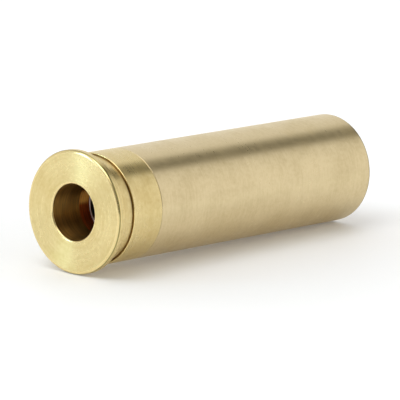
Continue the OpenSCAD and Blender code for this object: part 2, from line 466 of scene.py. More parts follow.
def mixed(mat, share, first, second):
    """Blend of two colours. Inputs 6 and 7 and output 2 of a Mix node are its colours."""
    mix = node(mat, "Mix", {"Factor": share}, data_type="RGBA")
    for socket, value in ((mix.inputs[6], first), (mix.inputs[7], second)):
        if isinstance(value, bpy.types.NodeSocket):
            mat.node_tree.links.new(value, socket)
        else:
            socket.default_value = (*value, 1)
    return mix.outputs[2]


def position(mat):
    """Point on the piece, in metres."""
    return node(mat, "TexCoord").outputs["Object"]


def coordinates(mat):
    """The point's x, y and z, and its distance from the X axis, in metres."""
    axes = node(mat, "SeparateXYZ", {0: position(mat)}).outputs
    flat = node(mat, "CombineXYZ", {"Y": axes[1], "Z": axes[2]}).outputs[0]
    radius = node(mat, "VectorMath", {0: flat}, operation="LENGTH").outputs["Value"]
    return axes, radius


def noise(mat, vector, period, detail=3.0, rough=0.55):
    """Noise whose features are about `period` millimetres wide."""
    names = {"Vector": vector, "Scale": 1 / (period * MM), "Detail": detail, "Roughness": rough}
    return node(mat, "TexNoise", names).outputs["Fac"]


def surface(mat, tone, dull, height, depth, **links):
    """Links the colour, the roughness, a relief of `depth` millimetres, and any others."""
    relief = node(mat, "Bump", {"Height": height, "Distance": depth * MM, "Strength": 1.0})
    wire(mat, Base_Color=tone, Roughness=dull, Normal=relief.outputs[0], **links)


def turning_marks(mat, streak=0.05):
    """Coordinates that hardly change round the axis, so that noise on them looks like tool marks on
    both a cylinder and a face."""
    axes, radius = coordinates(mat)
    along = added(mat, axes[0], radius)
    around = {"Y": product(mat, axes[1], streak), "Z": product(mat, axes[2], streak)}
    return node(mat, "CombineXYZ", {"X": along, **around}).outputs[0]


def round_axis(mat):
    """Direction of the tool marks, which the anisotropic gloss follows."""
    return node(mat, "Tangent", direction_type="RADIAL", axis="X").outputs[0]


def polish_and_shade_shares(mat):
    """Shares of polished outer edge and of painted shade, in inner corners and on edges given a negative
    value, from the mesh's wear and shade values.
    """
    wear_and_shade = node(mat, "Attribute", attribute_name="wear_and_shade").outputs["Fac"]
    return spread(mat, wear_and_shade, 0.1, 0.9), spread(mat, wear_and_shade, -0.1, -0.9)


def brass(name, colour, tarnish, roughness, grain=0.7, marks=0.28, depth=0.0005, zones=()):
    """Turned brass: circular tool marks, broad soft bands, slow patches of tarnish, fine specks,
    polished bright edges, and painted shade in inner corners and on edges marked for it. Each zone is
    (share, colour, added roughness), where share is a function that gives a node's output. Some zones
    paint light and shade."""
    mat = new_material(name, Metallic=1.0, Anisotropic=grain, Anisotropic_Rotation=0.25)
    point = position(mat)
    axes, radius = coordinates(mat)
    lathe_lines = turning_marks(mat)
    fine = noise(mat, lathe_lines, marks, 3.0, 0.6)
    bands = noise(mat, lathe_lines, 3.5, 2.0)
    patches = noise(mat, point, 7.0, 4.0, 0.6)
    specks = noise(mat, point, 0.7, 3.0, 0.7)
    stain = added(
        mat,
        spread(mat, patches, 0.42, 0.72, 0.0, 0.5),
        spread(mat, bands, 0.35, 0.75, 0.0, 0.3),
        spread(mat, fine, 0.3, 0.7, -0.15, 0.25),
        spread(mat, specks, 0.3, 0.7, -0.25, 0.25),
    )
    tone = mixed(mat, stain, colour, tarnish)
    polished, painted_shade = polish_and_shade_shares(mat)
    bright = tuple(min(1.0, c * 1.12) for c in colour)
    dark = tuple(c * 0.4 for c in tarnish)
    tone = mixed(mat, product(mat, polished, 0.8), tone, bright)
    # painted shade: inner corners, and edges given a negative value, darken towards the dark tarnish
    tone = mixed(mat, product(mat, painted_shade, 0.8), tone, dark)
    dull = added(
        mat,
        roughness,
        spread(mat, fine, 0.25, 0.75, -0.04, 0.05),
        spread(mat, patches, 0.35, 0.7, -0.02, 0.04),
        spread(mat, specks, 0.35, 0.7, -0.03, 0.03),
        product(mat, polished, -0.08),
    )
    marked = spread(mat, fine, 0.25, 0.75, 0.7, 1.25)
    for share, zone_colour, rougher in zones:
        covered = share(mat, axes, radius)
        streaky = node(mat, "VectorMath", {0: zone_colour, "Scale": marked}, operation="SCALE")
        tone = mixed(mat, covered, tone, streaky.outputs[0])
        dull = calculate(mat, "MULTIPLY_ADD", covered, rougher, dull)
    surface(mat, tone, dull, fine, depth, Tangent=round_axis(mat))
    return mat


def within(mat, value, low, high, soft):
    """1 where value lies from low to high, in millimetres, with an edge `soft` wide on both sides."""
    rise = spread(mat, value, (low - soft) * MM, low * MM)
    fall = spread(mat, value, (high + soft) * MM, high * MM)
    return product(mat, rise, fall)


def zone(along, around, height=None, outside=False):
    """Function that gives the share of a zone, from the (low, high, soft) ranges of its x, of its
    distance from the axis and, where given, of its height. With `outside`, the zone lies above and
    below that height."""
    def share(mat, axes, radius):
        covered = product(mat, within(mat, axes[0], *along), within(mat, radius, *around))
        if not height:
            return covered
        level = within(mat, axes[2], *height)
        if outside:
            level = calculate(mat, "SUBTRACT", 1.0, level)
        return product(mat, covered, level)

    return share


def plated(name, colour, shade, roughness, marks=0.2, anisotropy=0.5, depth=0.0003):
    """Plated or plain bright metal with faint circular marks."""
    mat = new_material(name, Metallic=1.0, Anisotropic=anisotropy, Anisotropic_Rotation=0.25)
    fine = noise(mat, turning_marks(mat), marks, 3.0)
    patches = noise(mat, position(mat), 5.0, 2.0)
    tone = mixed(mat, spread(mat, patches, 0.3, 0.8), colour, shade)
    dull = added(mat, roughness, spread(mat, fine, 0.3, 0.7, 0.0, 0.08))
    surface(mat, tone, dull, fine, depth, Tangent=round_axis(mat))
    return mat


def drawn_wire(name, colour, shade, roughness, highlight_end=None):
    """Spring wire: draw marks too fine to part, and darker patches left by the oil. Given an end x,
    the wire takes a painted highlight, a pale colour, up to that x, over its first coil."""
    mat = new_material(name, Metallic=1.0)
    point = position(mat)
    grain = noise(mat, point, 0.12, 4.0, 0.7)
    patches = noise(mat, point, 1.8, 3.0)
    tone = mixed(mat, spread(mat, patches, 0.3, 0.7), colour, shade)
    # painted highlight on the wire up to the given end x
    if highlight_end:
        highlit = within(mat, coordinates(mat)[0][0], 0, highlight_end, 0.1)
        tone = mixed(mat, highlit, tone, WIRE_HIGHLIGHT)
    dull = added(mat, roughness, spread(mat, grain, 0.3, 0.7, 0.0, 0.14))
    surface(mat, tone, dull, grain, 0.003)
    return mat


def moulded(name, colour, shade, roughness, grain=0.25, depth=0.004, **sockets):
    """Rubber, plastic or moulded epoxy with a fine grain and slow changes of shade."""
    mat = new_material(name, **sockets)
    point = position(mat)
    pores = noise(mat, point, grain, 5.0, 0.7)
    patches = noise(mat, point, 3.0, 3.0)
    tone = mixed(mat, spread(mat, patches, 0.3, 0.7), colour, shade)
    dull = added(mat, roughness, spread(mat, pores, 0.3, 0.7, -0.05, 0.1))
    surface(mat, tone, dull, pores, depth)
    return mat


def clear_glass(name, colour, ior, coat):
    """Clear glass with a faint film of dust and an anti-reflection tint."""
    mat = new_material(
        name, Transmission_Weight=1.0, IOR=ior, Coat_Weight=0.15, Coat_Tint=(*coat, 1))
    dust = noise(mat, position(mat), 0.6, 6.0, 0.7)
    dull = tuple(c * 0.97 for c in colour)
    tone = mixed(mat, spread(mat, dust, 0.45, 0.8), colour, dull)
    wire(mat, Base_Color=tone, Roughness=spread(mat, dust, 0.5, 0.85, 0.0, 0.03))
    return mat


def laminate(name, colour, shade):
    """Circuit board under its solder mask: woven glass shows as a faint square relief."""
    mat = new_material(name, Coat_Weight=0.5, Coat_Roughness=0.15)
    point = position(mat)
    threads = {"Vector": point, "Scale": 1 / (2.4 * MM)}
    weave_x = node(mat, "TexWave", threads, bands_direction="X").outputs["Fac"]
    weave_y = node(mat, "TexWave", threads, bands_direction="Y").outputs["Fac"]
    weave = product(mat, weave_x, weave_y)
    patches = noise(mat, point, 1.5, 4.0)
    shaded = added(
        mat, spread(mat, weave, 0.0, 1.0, 0.0, 0.4), spread(mat, patches, 0.3, 0.7, 0.0, 0.6))
    tone = mixed(mat, shaded, colour, shade)
    surface(mat, tone, spread(mat, patches, 0.3, 0.7, 0.32, 0.45), weave, 0.004)
    return mat


# pale colour of the painted highlight on the contact spring's first coil
WIRE_HIGHLIGHT = (0.96, 0.82, 0.84)
# (low, high, soft) ranges of x and of the distance from the axis
BORE_X = (MOUTH_ROUND + 0.02, BORE_DEPTH, 0.2)
IN_BORE = (-1, BORE_R + 0.02, 0.25)
IN_RECESS = (-1, RECESS_R + 0.02, 0.25)
# tints and painted light and shade on the cap, placed by position
CAP_TINTS_AND_PAINTED_LIGHT = (
    # wall of the rear bore, past its rounded mouth: painted shade, browner and darker than the brass
    (zone(BORE_X, IN_BORE), (0.60, 0.35, 0.09), 0.1),
    # painted shade on the bore's top and bottom, which are darker than halfway up
    (zone(BORE_X, IN_BORE, (-1.2, 0.6, 2.2), outside=True), (0.29, 0.15, 0.035), 0.0),
    # wall past the depth that the reamer reached, with the recess behind it: a red tint darkened by
    # painted shade
    (zone((REAMED_DEPTH, RECESS_END - 0.1, 0.5), IN_RECESS), (0.50, 0.12, 0.025), 0.0),
    # painted pool of light on that wall, bright orange, where light from the mouth falls
    (zone((REAMED_DEPTH, BORE_DEPTH, 0.5), IN_BORE, (0.4, 1.8, 1.0)), (1.0, 0.55, 0.13), 0.2),
    # painted shade in the corner between neck and shoulder
    (zone((SHOULDER - 0.12, SHOULDER + 0.02, 0.15), (NECK_R - 0.1, CASE_R - 0.2, 0.1)),
        (0.24, 0.14, 0.04), 0.0),
    # thin dark olive line of painted reflection where the rim's rounded edge meets its side
    (zone((RIM_ROUND * 0.45, RIM_ROUND * 0.75, 0.08), (RIM_R - 0.3, RIM_R + 1, 0.05)),
        (0.36, 0.30, 0.11), 0.0),
)
CAP_BRASS = brass(
    "cap_brass", (0.75, 0.605, 0.295), (0.665, 0.51, 0.215), 0.31, grain=0.85, zones=CAP_TINTS_AND_PAINTED_LIGHT)
TUBE_BRASS = brass(
    "tube_brass", (0.715, 0.585, 0.345), (0.64, 0.515, 0.285), 0.34, grain=0.75, marks=0.22)
MODULE_BRASS = brass("module_brass", (0.74, 0.55, 0.25), (0.62, 0.44, 0.18), 0.28, marks=0.18)
SPRING_STEEL = drawn_wire("spring_steel", (0.66, 0.64, 0.62), (0.48, 0.46, 0.44), 0.24)
# painted shade: the contact spring's wire is near black, as dark as the deep bore it sits in, with a
# painted highlight on its first coil
CONTACT_WIRE_PAINTED_LIGHT = drawn_wire("contact_wire", (0.09, 0.06, 0.045), (0.05, 0.035, 0.03), 0.3, HIGHLIGHT_END)
GOLD_WIRE = drawn_wire("gold_wire", (0.86, 0.66, 0.32), (0.74, 0.54, 0.24), 0.2)
GOLD_PLATE = plated("gold_plate", (0.88, 0.68, 0.32), (0.78, 0.57, 0.25), 0.2)
CELL_STEEL = plated("cell_steel", (0.72, 0.71, 0.69), (0.66, 0.65, 0.63), 0.2, marks=0.35, depth=0.0001)
SOLDER = plated("solder", (0.68, 0.68, 0.69), (0.52, 0.52, 0.53), 0.3, anisotropy=0.0)
BLACK_METAL = moulded("black_metal", (0.035, 0.034, 0.032), (0.02, 0.02, 0.02), 0.36, Metallic=0.6)
RUBBER = moulded("seal_rubber", (0.018, 0.018, 0.019), (0.028, 0.028, 0.029), 0.55, depth=0.006)
SLEEVE = moulded("sleeve_plastic", (0.03, 0.03, 0.032), (0.045, 0.045, 0.047), 0.42)
NYLON = moulded("cell_nylon", (0.14, 0.24, 0.38), (0.10, 0.19, 0.32), 0.4, Subsurface_Weight=0.1)
FILLING = moulded("cell_filling", (0.03, 0.028, 0.026), (0.06, 0.055, 0.05), 0.85, grain=0.4, depth=0.05)
EPOXY = moulded("black_component", (0.02, 0.02, 0.021), (0.03, 0.03, 0.031), 0.5, grain=0.12)
AMBER = moulded("amber_component", (0.62, 0.30, 0.05), (0.52, 0.24, 0.04), 0.38, grain=0.15)
DARK_BAND = moulded("component_band", (0.25, 0.09, 0.02), (0.2, 0.07, 0.02), 0.42, grain=0.15)
CERAMIC = moulded("chip_ceramic", (0.75, 0.73, 0.68), (0.66, 0.64, 0.6), 0.5, grain=0.1)
SILICON = moulded(
    "diode_chip", (0.09, 0.09, 0.11), (0.05, 0.05, 0.07), 0.2, grain=0.08, depth=0.001, Metallic=0.7)
GREEN_BOARD = laminate("green_board", (0.012, 0.10, 0.042), (0.02, 0.15, 0.062))
COPPER_TRACE = laminate("masked_copper", (0.03, 0.20, 0.075), (0.045, 0.25, 0.09))
LENS_GLASS = clear_glass("lens_glass", (0.93, 0.98, 0.97), 1.58, (0.55, 0.85, 1.0))
WINDOW_GLASS = clear_glass("window_glass", (0.95, 0.98, 0.98), 1.52, (0.7, 0.8, 1.0))


# -------- case

def rear_cap():
    start = THREAD_START + 0.5
    end = SPIGOT_END - 0.3
    turned("cap_shell", lambda angle: rounded([
        (0, BORE_R, MOUTH_ROUND), (0, RIM_R, RIM_ROUND),
        (RIM_T, RIM_R, 0.25), (RIM_T, NECK_R, 0.12),
        (SHOULDER, NECK_R, 0.08), (SHOULDER, CASE_R, 0.15),
        # -0.25 paints a little shade on the head's edge at the seam
        (HEAD_END, CASE_R, 0.1, -0.25), (HEAD_END, GROOVE_R, 0.1),
        (THREAD_START, GROOVE_R, 0.1), (THREAD_START, MALE_CREST, 0.12),
        thread(start, end, MALE_ROOT, MALE_CREST, THREAD_PITCH, angle, MALE_CREST, MALE_ROOT),
        (SPIGOT_END, MALE_ROOT, 0.2), (SPIGOT_END, CAVITY_R, 0.15),
        (RECESS_END, CAVITY_R, 0.1), (RECESS_END, RECESS_R, 0.08),
        (BORE_DEPTH, RECESS_R, 0.05), (BORE_DEPTH, BORE_R, 0.05),
    ]), CAP_BRASS, "rear_cap", "rear_cap", steps=256)


def body_tube():
    start = THREAD_START + 0.6
    end = RELIEF_END - 0.7
    root = FEMALE_ROOT
    turned("tube_shell", lambda angle: rounded([
        (SEAM, SEAT_R, 0.12),
        (THREAD_START, SEAT_R, 0.05), (THREAD_START, root, 0.08),
        thread(start, end, root, FEMALE_CREST, THREAD_PITCH, angle, root, root, shift=0.5),
        (RELIEF_END, root, 0.1), (RELIEF_END, TUBE_BORE_R, 0.1),
        (FLANGE_START, TUBE_BORE_R, 0.08), (FLANGE_START, FLANGE_R, 0.08),
        (FLANGE_END, FLANGE_R, 0.08), (FLANGE_END, FRONT_R, 0.08),
        # -0.7 paints a dark reflection on the front edge's rounding, and -0.25 a little shade on the
        # edge at the seam
        (CASE_END, FRONT_R, 0.2), (CASE_END, CASE_R, 0.4, -0.7),
        (SEAM, CASE_R, 0.1, -0.25),
    ]), TUBE_BRASS, "body_tube", steps=256)


def seal_ring():
    """O-ring with the fine parting line that its mould leaves round the outside."""
    x0, x1 = span("cap_seal")
    section = (x1 - x0) / 2
    middle = (x0 + x1) / 2
    centre = reach("cap_seal") - section
    sides = 28
    points = []
    for k in range(sides):
        angle = tau * k / sides
        high = section - (0.02 if k % (sides // 2) == sides // 4 else 0.0)
        points.append((middle + section * cos(angle), centre + high * sin(angle), 0))
    turned("seal_ring", points, RUBBER, "cap_seal", "cap_seal", steps=160)


def wire_centre(name, gauge):
    """First x, last x and largest radius of the middle of a coiled CAD node's wire."""
    x0, x1 = span(name)
    outer = max(hypot(v.co.y, v.co.z) for v in NODES[name].data.vertices) / MM
    return x0 + gauge / 2, x1 - gauge / 2, outer - gauge / 2


def contact_coil():
    gauge = 0.5
    x0, x1, radius = wire_centre("contact_spring", gauge)
    piece = coil(
        "contact_coil", x0, x1, radius, 2.5, 4.5, gauge, CONTACT_WIRE_PAINTED_LIGHT, shut=1.0, flat=0.75, start=0.5)
    stand_in(piece, "contact_spring", "contact_spring")


# -------- cells

def plus_mark(piece, x, size=3.0, stroke=0.55, depth=0.08):
    """Sinks a plus sign, the mark of the positive pole, into a face that looks towards -X."""
    upright = bar_cutter(x - 0.5, x + depth, stroke / 2, size / 2)
    level = bar_cutter(x - 0.5, x + depth, size / 2, stroke / 2)
    carve(piece, upright, level)


def cell(number):
    body = f"cell_{number}"
    can, gasket, cap = f"{body}_can", f"{body}_gasket", f"{body}_cap"
    rear, mouth = span(can)
    outer, inner = reach(can), radii(can, mouth)[0]
    sheet, crimp = 0.25, 0.2
    cup = lathe(f"{body}_cup", rounded([
        (rear, 0, 0), (rear, outer, 0.45),
        (mouth, outer, 0.25), (mouth, inner - crimp, 0.06),
        (mouth - crimp, inner - crimp, 0.05),
        (mouth - sheet, inner, 0.05),
        (rear + sheet, inner, 0.2), (rear + sheet, 0, 0),
    ]), CELL_STEEL)
    plus_mark(cup, rear)
    stand_in(cup, can, body)
    x0, x1 = span(gasket)
    hole = radii(gasket, x1)[0]
    ease = 0.04
    turned(f"{body}_seal", rounded([
        (x0 + ease / 2, hole, 0.1), (x0 + ease / 2, inner - ease, 0.15),
        (mouth - 0.3, inner - ease, 0.1),
        (mouth - crimp - ease, inner - crimp - ease, 0.05),
        (x1, inner - crimp - ease, 0.08), (x1, hole, 0.05),
    ]), NYLON, gasket, body)
    x0, x1 = span(cap)
    edge = reach(cap)
    step = 0.06
    turned(f"{body}_lid", rounded([
        (x1, 0, 0), (x1, edge * 0.72, 0.3),
        (x1 - step, edge * 0.76, 0.2), (x1 - step, edge, 0.22),
        (x0, edge, 0.06), (x0, edge - sheet, 0.06),
        (x1 - 0.3, edge - sheet, 0.15), (x1 - 0.3, 0, 0),
    ]), CELL_STEEL, cap, body)
    filling = f"{body}_filling"
    x0, x1 = span(filling)
    outline = disc(x0 + 0.02, x1, reach(filling), 0.3, 0.2)
    turned(f"{body}_paste", outline, FILLING, filling, body)


# -------- laser module

# half the width of the driver board's tab, which sits in a slot of the contact board
TAB = 1.9


def module_barrel():
    x0, x1 = span("module_barrel")
    outer = reach("module_barrel")
    board_x = span("contact_disc")[1]
    holder_x, holder_end = span("diode_holder")
    mouth_r = radii("module_barrel", x0)[0]
    board_r = radii("module_barrel", board_x)[0]
    holder_r = reach("diode_holder") + 0.05
    root = radii("module_barrel", x1)[0]
    crest = root - LENS_THREAD
    start = span("lens_holder")[0]
    turned("module_shell", lambda angle: rounded([
        (x0, mouth_r, 0.12),
        (board_x, mouth_r, 0.08), (board_x, board_r, 0.08),
        (holder_x, board_r, 0.08), (holder_x, holder_r, 0.08),
        (holder_end, holder_r, 0), (holder_end, root, 0),
        thread(start, x1 - 0.15, root, crest, LENS_PITCH, angle, root, root, 0.5, start),
        (x1, root, 0), (x1, outer, 0.25),
        (x0, outer, 0.25),
    ]), MODULE_BRASS, "module_barrel", steps=160)


def board_coil():
    gauge = 0.45
    x0, x1, radius = wire_centre("board_spring", gauge)
    piece = coil("board_coil", x1, x0, radius, 1.6, 4, gauge, GOLD_WIRE, shut=0.5, flat=0.75)
    stand_in(piece, "board_spring")


def contact_disc():
    """Round board that carries the spring on a gold ring, with a slot for the driver board's tab."""
    x0, x1 = span("contact_disc")
    board = lathe("contact_board", disc(x0, x1, reach("contact_disc"), 0.06, 0.06), GREEN_BOARD)
    low, high = box("driver_board")
    half = (high.z - low.z) / 2 + GAP
    carve(board, bar_cutter(x0 - 0.5, x1 + 0.5, TAB + 0.05, half, z=(low.z + high.z) / 2))
    stand_in(board, "contact_disc")
    fillets = 0.015, 0.015, 0.01, 0.01
    pad = lathe("contact_pad", ring(x0 - 0.03, x0 + 0.02, 2.6, 3.7, fillets), GOLD_PLATE)
    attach(pad, "tube")


def solder_joint(bm, x, y, z, radius, height, material):
    """Adds a low mound of solder: a dome that flares out at its foot."""
    before = set(bm.faces)
    sides, rows = 20, 6
    rings = []
    for row in range(rows + 1):
        share = row / rows
        width = radius * (1 - share ** 1.6) + radius * 0.04
        rise = height * sin(share * pi / 2) ** 1.5
        circle = []
        for k in range(sides):
            angle = tau * k / sides
            circle.append((x + width * cos(angle), y + width * sin(angle), z + rise))
        rings.append(dots(bm, circle))
    closed_skin(bm, rings)
    painted(bm, before, material)


def boxes(name):
    """Low and high corners of a CAD node's separate solids, in order of y and then x."""
    bm = bmesh.new()
    bm.from_mesh(NODES[name].data)
    bmesh.ops.remove_doubles(bm, verts=bm.verts, dist=1e-6)
    found, left = [], set(bm.verts)
    while left:
        group, queue = [], [left.pop()]
        while queue:
            here = queue.pop()
            group.append(here.co / MM)
            near = {edge.other_vert(here) for edge in here.link_edges} & left
            left -= near
            queue += near
        low = Vector(min(p[i] for p in group) for i in range(3))
        high = Vector(max(p[i] for p in group) for i in range(3))
        found.append((low, high))
    bm.free()
    return sorted(found, key=lambda pair: (round(pair[0].y, 3), round(pair[0].x, 3)))


def circuit_board():
    """Driver board with its tab, copper tracks under the mask, tinned pads and solder joints."""
    low, high = box("driver_board")
    shoulder = span("contact_disc")[1]
    half, clip = high.y, 0.5
    top = high.z
    bm = bmesh.new()
    slab(bm, [
        (low.x, -TAB), (low.x, TAB), (shoulder, TAB), (shoulder, half - clip), (shoulder + clip, half),
        (high.x - clip, half), (high.x, half - clip), (high.x, clip - half), (high.x - clip, -half),
        (shoulder + clip, -half), (shoulder, clip - half), (shoulder, -TAB),
    ], low.z, top)
    chips = boxes("board_resistors")
    tantalum = box("board_capacitor")
    leads = boxes("diode_leads")
    lead_x = leads[0][0].x
    cap_x = tantalum[1].x
    chip_x, chip_y = chips[-1][1].x, chips[-1][0].y + 0.4
    edge, copper, tin = 0.35 / 2, 0.035, 0.02
    track, solder = 1, 2
    for route in (
        [(shoulder + 0.6, -1.2), (shoulder + 1.9, -1.2), (shoulder + 1.9, -2.6)],
        [(cap_x + 0.2, -2.6), (cap_x + 1.2, -2.6), (cap_x + 1.2, -1.0), (lead_x + 0.3, -1.0)],
        [(box("board_transistor")[1].x, 1.0), (lead_x + 0.3, 1.0)],
        [(chip_x, chip_y), (lead_x + 0.6, chip_y), (lead_x + 0.6, 1.0)],
    ):
        for begin, end in zip(route, route[1:]):
            xs, ys = (sorted(pair) for pair in zip(begin, end))
            first = (xs[0] - edge, ys[0] - edge, top - copper)
            last = (xs[1] + edge, ys[1] + edge, top + copper)
            block(bm, first, last, bevel=0.015, material=track)
    for part_low, part_high in chips + [tantalum]:
        for x in (part_low.x, part_high.x):
            first = (x - 0.3, part_low.y - 0.1, top - copper)
            last = (x + 0.3, part_high.y + 0.1, top + tin)
            block(bm, first, last, bevel=0.01, material=solder)
    for lead_low, lead_high in leads:
        if lead_low.x < high.x - 0.5:
            y = (lead_low.y + lead_high.y) / 2
            solder_joint(bm, lead_low.x + 0.8, y, top, 0.65, 0.5, solder)
    for y in (-1.2, 1.2):
        solder_joint(bm, shoulder + 0.45, y, top, 0.5, 0.45, solder)
    for x, y in ((8.6, 3.6), (9.9, -3.7), (11.4, 2.2)):
        solder_joint(bm, shoulder + x, y, top, 0.3, 0.08, solder)
    board = finished("circuit_board", bm, GREEN_BOARD, COPPER_TRACE, SOLDER, sharp=30, weld=False)
    stand_in(board, "driver_board")


def transistor():
    """Moulded body with draft and three gull-wing legs."""
    low, high = box("board_transistor")
    wide, step = 0.65, 0.02
    bm = bmesh.new()
    block(bm, (low.x, -wide, low.z + 0.1), (high.x, wide, low.z + 0.62), bevel=0.04)
    upper_low = (low.x + step, step - wide, low.z + 0.6)
    upper_high = (high.x - step, wide - step, high.z)
    block(bm, upper_low, upper_high, bevel=0.05, top=0.88)
    foot, knee = high.y, high.y - 0.42
    bends = (
        (foot, 0), (foot - 0.28, 0.01), (foot - 0.38, 0.1), (knee, 0.42), (knee - 0.08, 0.5), (0.6, 0.5))
    for share, side in ((0.19, 1), (0.81, 1), (0.5, -1)):
        x = low.x + share * (high.x - low.x)
        path = [(side * y, low.z + rise) for y, rise in bends]
        ribbon(bm, path, x - 0.2, x + 0.2, 0.12, material=1)
    piece = finished("transistor", bm, EPOXY, SOLDER, sharp=25, weld=False)
    stand_in(piece, "board_transistor")


def resistors():
    """Thick-film chips: white ceramic, a dark coat on top and plated ends."""
    bm = bmesh.new()
    coat, chip, metal = range(3)
    for low, high in boxes("board_resistors"):
        end = (high.x - low.x) * 0.2
        chip_inset = Vector((end / 2, 0.02, 0.02))
        block(bm, low + chip_inset, high - chip_inset - Vector((0, 0, 0.03)), 0.03, chip)
        coat_low = (low.x + end, low.y + 0.03, high.z - 0.08)
        coat_high = (high.x - end, high.y - 0.03, high.z - 0.01)
        block(bm, coat_low, coat_high, 0.02, coat)
        for x in (low.x, high.x - end):
            block(bm, (x, low.y, low.z), (x + end, high.y, high.z), 0.05, metal)
    piece = finished("resistors", bm, EPOXY, CERAMIC, SOLDER, sharp=25, weld=False)
    stand_in(piece, "board_resistors")


def capacitor():
    """Moulded tantalum capacitor with its polarity band and two end plates."""
    low, high = box("board_capacitor")
    plate, foot, inset = 0.12, 0.5, 0.2
    body, band, metal = range(3)
    bm = bmesh.new()
    body_low = (low.x + plate, low.y, low.z + 0.08)
    block(bm, body_low, (high.x - plate, high.y, high.z), 0.07, body, top=0.95)
    band_low = (low.x + 0.35, low.y + 0.07, high.z - 0.05)
    block(bm, band_low, (low.x + 0.85, high.y - 0.07, high.z), 0.01, band)
    for long, tall, bevel in ((foot, plate, 0.02), (plate, 0.8, 0.03)):
        for x in (low.x, high.x - long):
            end_high = (x + long, high.y - inset, low.z + tall)
            block(bm, (x, low.y + inset, low.z), end_high, bevel, metal)
    piece = finished("capacitor", bm, AMBER, DARK_BAND, SOLDER, sharp=25, weld=False)
    stand_in(piece, "board_capacitor")


def laser_leads():
    bm = bmesh.new()
    for low, high in boxes("diode_leads"):
        middle = (low + high) / 2
        radius = (high.y - low.y) / 2
        turn(bm, disc(low.x, high.x, radius, 0.08, 0.02), 24, middle.y, middle.z)
    piece = finished("laser_leads", bm, GOLD_PLATE)
    stand_in(piece, "diode_leads")


def laser_base():
    """Flange with its two V notches and square key, and the post for the chip."""
    x0, post_end = span("diode_stem")
    x1 = span("diode_can")[0]
    outer = reach("diode_stem")
    step = outer - 0.35
    base = lathe("laser_base", rounded([
        (x0, 0, 0), (x0, outer, 0.1),
        (x1 - 0.35, outer, 0.05),
        (x1 - 0.3, step, 0.1),
        (x1, step, 0.05), (x1, 0, 0),
    ]), GOLD_PLATE, steps=96)
    notches = [bar_cutter(x0 - 0.2, x1 + 0.2, 0.2, 0.2, z=outer)]
    for side in (-1, 1):
        notch = bar_cutter(x0 - 0.2, x1 + 0.2, 0.28, 0.28)
        notch.data.transform(Matrix.Rotation(radians(45), 4, "X"))
        notch.data.transform(Matrix.Translation((0, side * outer * MM, 0)))
        notches.append(notch)
    carve(base, *notches)
    chip_low = box("diode_chip")[0]
    bm = bmesh.new()
    bm.from_mesh(base.data)
    block(bm, (x1 - 0.2, -0.95, -0.98), (post_end, 0.95, chip_low.z), 0.06)
    base.data = base.data.copy()
    bm.to_mesh(base.data)
    bm.free()
    stand_in(base, "diode_stem")


def laser_chip():
    """Chip on its small sub-mount, with the wire bond's ball on top."""
    low, high = box("diode_chip")
    step = (high.z - low.z) * 0.5
    mount_block, chip, ball = range(3)
    bm = bmesh.new()
    block(bm, low, (high.x, high.y, low.z + step), 0.012, mount_block)
    chip_low = (low.x + 0.08, low.y + 0.12, low.z + step - 0.01)
    chip_high = (high.x - 0.02, high.y - 0.12, high.z - 0.03)
    block(bm, chip_low, chip_high, 0.008, chip)
    solder_joint(bm, (low.x + high.x) / 2, 0, high.z - 0.04, 0.06, 0.035, ball)
    piece = finished("laser_chip", bm, CERAMIC, SILICON, GOLD_PLATE, weld=False)
    stand_in(piece, "diode_chip")


def laser_can():
    x0, x1 = span("diode_can")
    outer = reach("diode_can")
    hole = radii("diode_can", x1)[0]
    inner = radii("diode_can", x0)[0]
    turned("laser_can", rounded([
        (x0, inner, 0.03), (x0, outer, 0.04),
        (x1, outer, 0.22), (x1, hole, 0.06),
        (x1 - 0.2, hole, 0.04), (x1 - 0.2, inner, 0.05),
    ]), GOLD_PLATE, "diode_can", steps=96)


def laser_holder():
    x0, x1 = span("diode_holder")
    outer = reach("diode_holder")
    pocket_end = span("diode_can")[0]
    pocket = radii("diode_holder", x0)[0]
    hole = radii("diode_holder", x1)[0]
    turned("laser_holder", rounded([
        (x0, pocket, 0.12),
        (pocket_end, pocket, 0.06), (pocket_end, hole, 0.06),
        (x1, hole, 0.15), (x1, outer, 0.25),
        (x0, outer, 0.15),
    ]), MODULE_BRASS, "diode_holder", steps=96)


# -------- lens and window

def lens_coil():
    gauge = 0.4
    x0, x1, radius = wire_centre("lens_spring", gauge)
    piece = coil("lens_coil", x0, x1, radius, radius, 3, gauge, SPRING_STEEL)
    stand_in(piece, "lens_spring")


def lens_cell():
    x0, x1 = span("lens_holder")
    outer = reach("lens_holder")
    bore = radii("lens_holder", x1)[0]
    lip_x = span("collimating_lens")[0]
    lip_r = radii("lens_holder", x0)[0]
    root = outer - LENS_THREAD
    piece = lathe("lens_cell", lambda angle: rounded([
        (x0, lip_r, 0.08), (x0, root, 0.1),
        thread(x0 + 0.25, x1 - 0.25, root, outer, LENS_PITCH, angle, root, root, origin=x0),
        (x1, root, 0.1), (x1, bore, 0.1),
        (lip_x, bore, 0.05), (lip_x, lip_r, 0.08),
    ]), MODULE_BRASS)
    spanner_slots(piece, x1, outer)
    stand_in(piece, "lens_holder")


def lens():
    """Plano-convex lens: ground edge with a small bevel, curved towards the beam."""
    x0, x1 = span("collimating_lens")
    outer = reach("collimating_lens")
    curve = 7.0
    rows = 18
    front = []
    for k in range(rows + 1):
        radius = outer * (1 - k / rows)
        front.append((x1 - curve + sqrt(curve ** 2 - radius ** 2), radius, 0))
    outline = rounded([(x0, 0, 0), (x0, outer, 0.08), front])
    turned("lens", outline, LENS_GLASS, "collimating_lens")


# -------- studio

TILT = asin((RIM_R - CASE_R) / (CASE_END - RIM_T / 2))
LEVEL = Matrix.Rotation(-TILT, 4, "Y")


def facing(away):
    """Turn of a camera or light that stands in the direction `away` from what it looks at."""
    return away.to_track_quat("Z", "Y").to_matrix().to_4x4()


